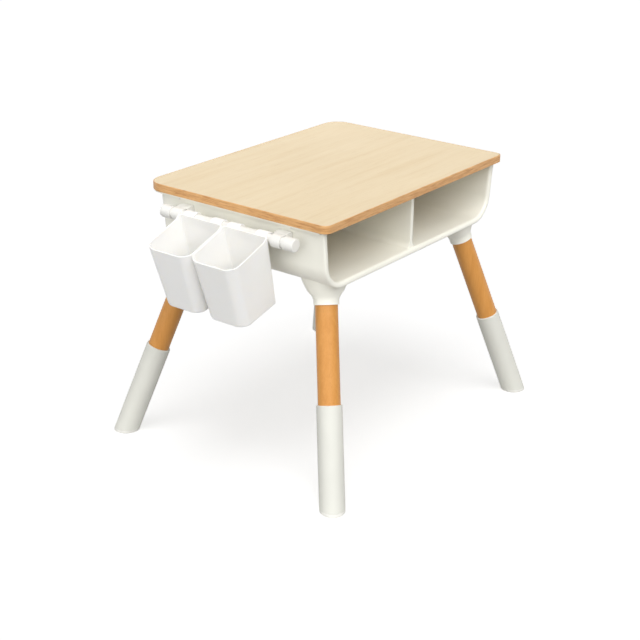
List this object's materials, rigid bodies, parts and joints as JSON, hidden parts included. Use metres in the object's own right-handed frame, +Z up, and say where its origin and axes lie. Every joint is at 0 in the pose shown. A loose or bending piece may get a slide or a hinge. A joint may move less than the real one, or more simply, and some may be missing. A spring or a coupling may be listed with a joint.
{
  "type": "kids table",
  "caption": "Low kids table: rounded wood-grain top over an open-fronted tray with a divider, splayed round legs with pull-off extensions, and tapered bins hung on a side rail.",
  "frame": {"origin": "on the floor, at the middle of the whole object's length and depth, bins and feet included", "axes": "+X to the right along the open front, the rail with its bins at -X; +Y from the open front to the closed back; +Z up"},
  "size_m": [0.7382, 0.542, 0.5],
  "materials": {
    "board_laminate": "pale wood-grain laminate, satin",
    "edge_band": "brown edge band, satin",
    "white_plastic": "warm white moulded plastic, satin",
    "bin_plastic": "white moulded plastic, slightly translucent, matt",
    "leg_wood": "orange-brown varnished wood, satin",
    "foot_rubber": "off-white soft plastic, matt",
    "screw_steel": "zinc-plated steel"
  },
  "bodies": {
    "table": {"top_board": "board_laminate", "top_edge_band": "edge_band", "storage_tray": "white_plastic", "tray_divider": "white_plastic", "leg_front_left": "leg_wood", "leg_front_right": "leg_wood", "leg_back_left": "leg_wood", "leg_back_right": "leg_wood", "leg_stud_front_left": "screw_steel", "leg_stud_front_right": "screw_steel", "leg_stud_back_left": "screw_steel", "leg_stud_back_right": "screw_steel", "rail_rod": "white_plastic", "rail_end_cap_front": "white_plastic", "rail_end_cap_back": "white_plastic", "rail_bracket_front": "white_plastic", "rail_bracket_back": "white_plastic", "top_screw_left_front": "screw_steel", "top_screw_left_back": "screw_steel", "top_screw_right_front": "screw_steel", "top_screw_right_back": "screw_steel", "top_screw_back_left": "screw_steel", "top_screw_back_right": "screw_steel", "divider_screw_front": "screw_steel", "divider_screw_back": "screw_steel"},
    "front_bin": {"bin_front": "bin_plastic"},
    "back_bin": {"bin_back": "bin_plastic"},
    "front_left_extension": {"leg_extension_front_left": "white_plastic", "foot_pad_front_left": "foot_rubber"},
    "front_right_extension": {"leg_extension_front_right": "white_plastic", "foot_pad_front_right": "foot_rubber"},
    "back_left_extension": {"leg_extension_back_left": "white_plastic", "foot_pad_back_left": "foot_rubber"},
    "back_right_extension": {"leg_extension_back_right": "white_plastic", "foot_pad_back_right": "foot_rubber"}
  },
  "joints": [
    {"name": "front_bin_swing", "type": "hinge", "parent": "table", "child": "front_bin", "pos_m": [-0.26494, -0.04975, 0.459], "axis": [0, 1, 0], "range_deg": [0, 60]},
    {"name": "back_bin_swing", "type": "hinge", "parent": "table", "child": "back_bin", "pos_m": [-0.26494, 0.04975, 0.459], "axis": [0, 1, 0], "range_deg": [0, 60]},
    {"name": "front_left_pull", "type": "slide", "parent": "table", "child": "front_left_extension", "axis": [-0.2622, -0.2514, -0.9317], "range_m": [0, 0.06]},
    {"name": "front_right_pull", "type": "slide", "parent": "table", "child": "front_right_extension", "axis": [0.2622, -0.2514, -0.9317], "range_m": [0, 0.06]},
    {"name": "back_left_pull", "type": "slide", "parent": "table", "child": "back_left_extension", "axis": [-0.2622, 0.2514, -0.9317], "range_m": [0, 0.06]},
    {"name": "back_right_pull", "type": "slide", "parent": "table", "child": "back_right_extension", "axis": [0.2622, 0.2514, -0.9317], "range_m": [0, 0.06]}
  ]
}
